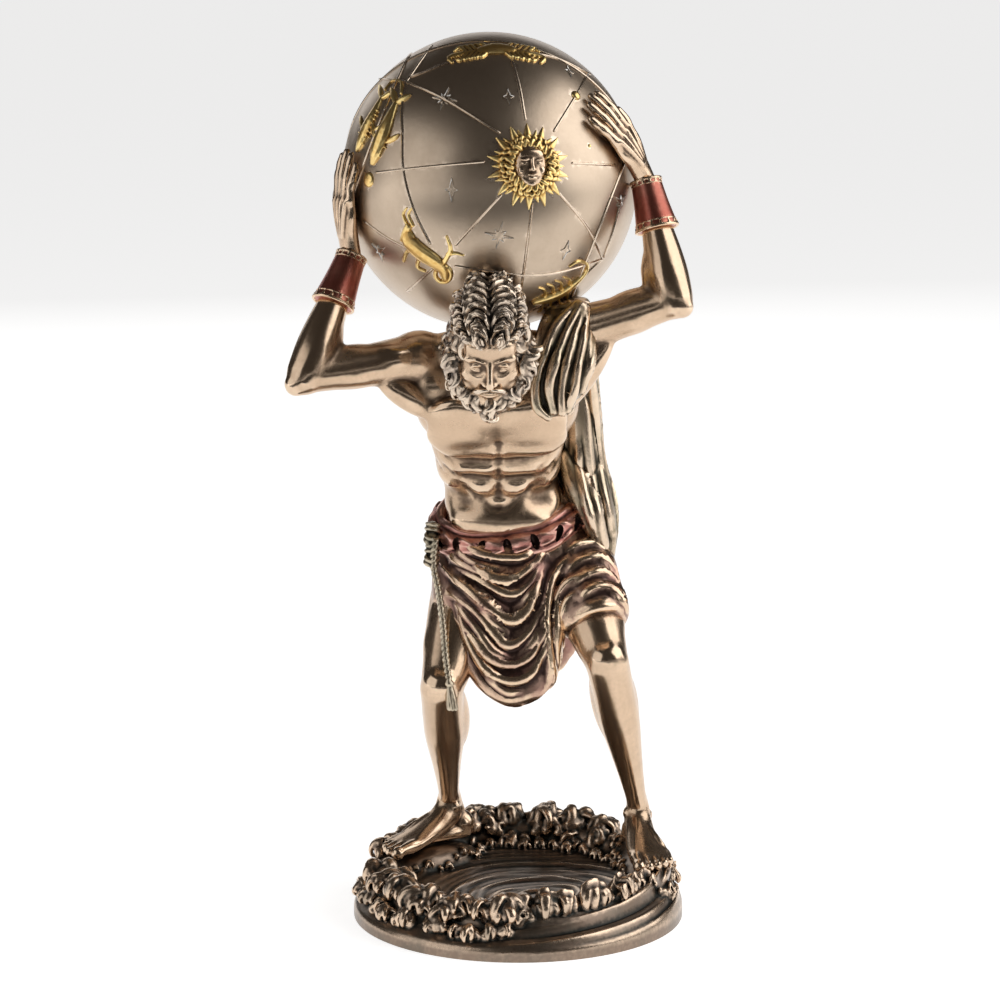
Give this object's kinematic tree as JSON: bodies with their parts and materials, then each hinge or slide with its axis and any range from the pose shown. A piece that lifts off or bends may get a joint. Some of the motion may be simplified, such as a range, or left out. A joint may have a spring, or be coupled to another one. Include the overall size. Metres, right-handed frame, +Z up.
{
  "type": "atlas statue",
  "caption": "Cast bronze-finish statuette of a bearded Atlas in a draped kilt bearing a star globe on his bowed shoulders, standing on a round base of foaming waves.",
  "frame": {"origin": "centre of the base's flat underside", "axes": "+Z up, the figure faces -Y, +X towards the figure's left hand"},
  "size_m": [0.1407, 0.1234, 0.3153],
  "materials": {
    "wave_bronze": "dark patinated bronze coat over cast resin",
    "figure_bronze": "polished bronze coat over cast resin, dark in the hollows",
    "globe_bronze": "satin bronze coat over cast resin"
  },
  "bodies": {
    "root": {"base": "wave_bronze", "figure": "figure_bronze", "globe": "globe_bronze"}
  },
  "joints": []
}
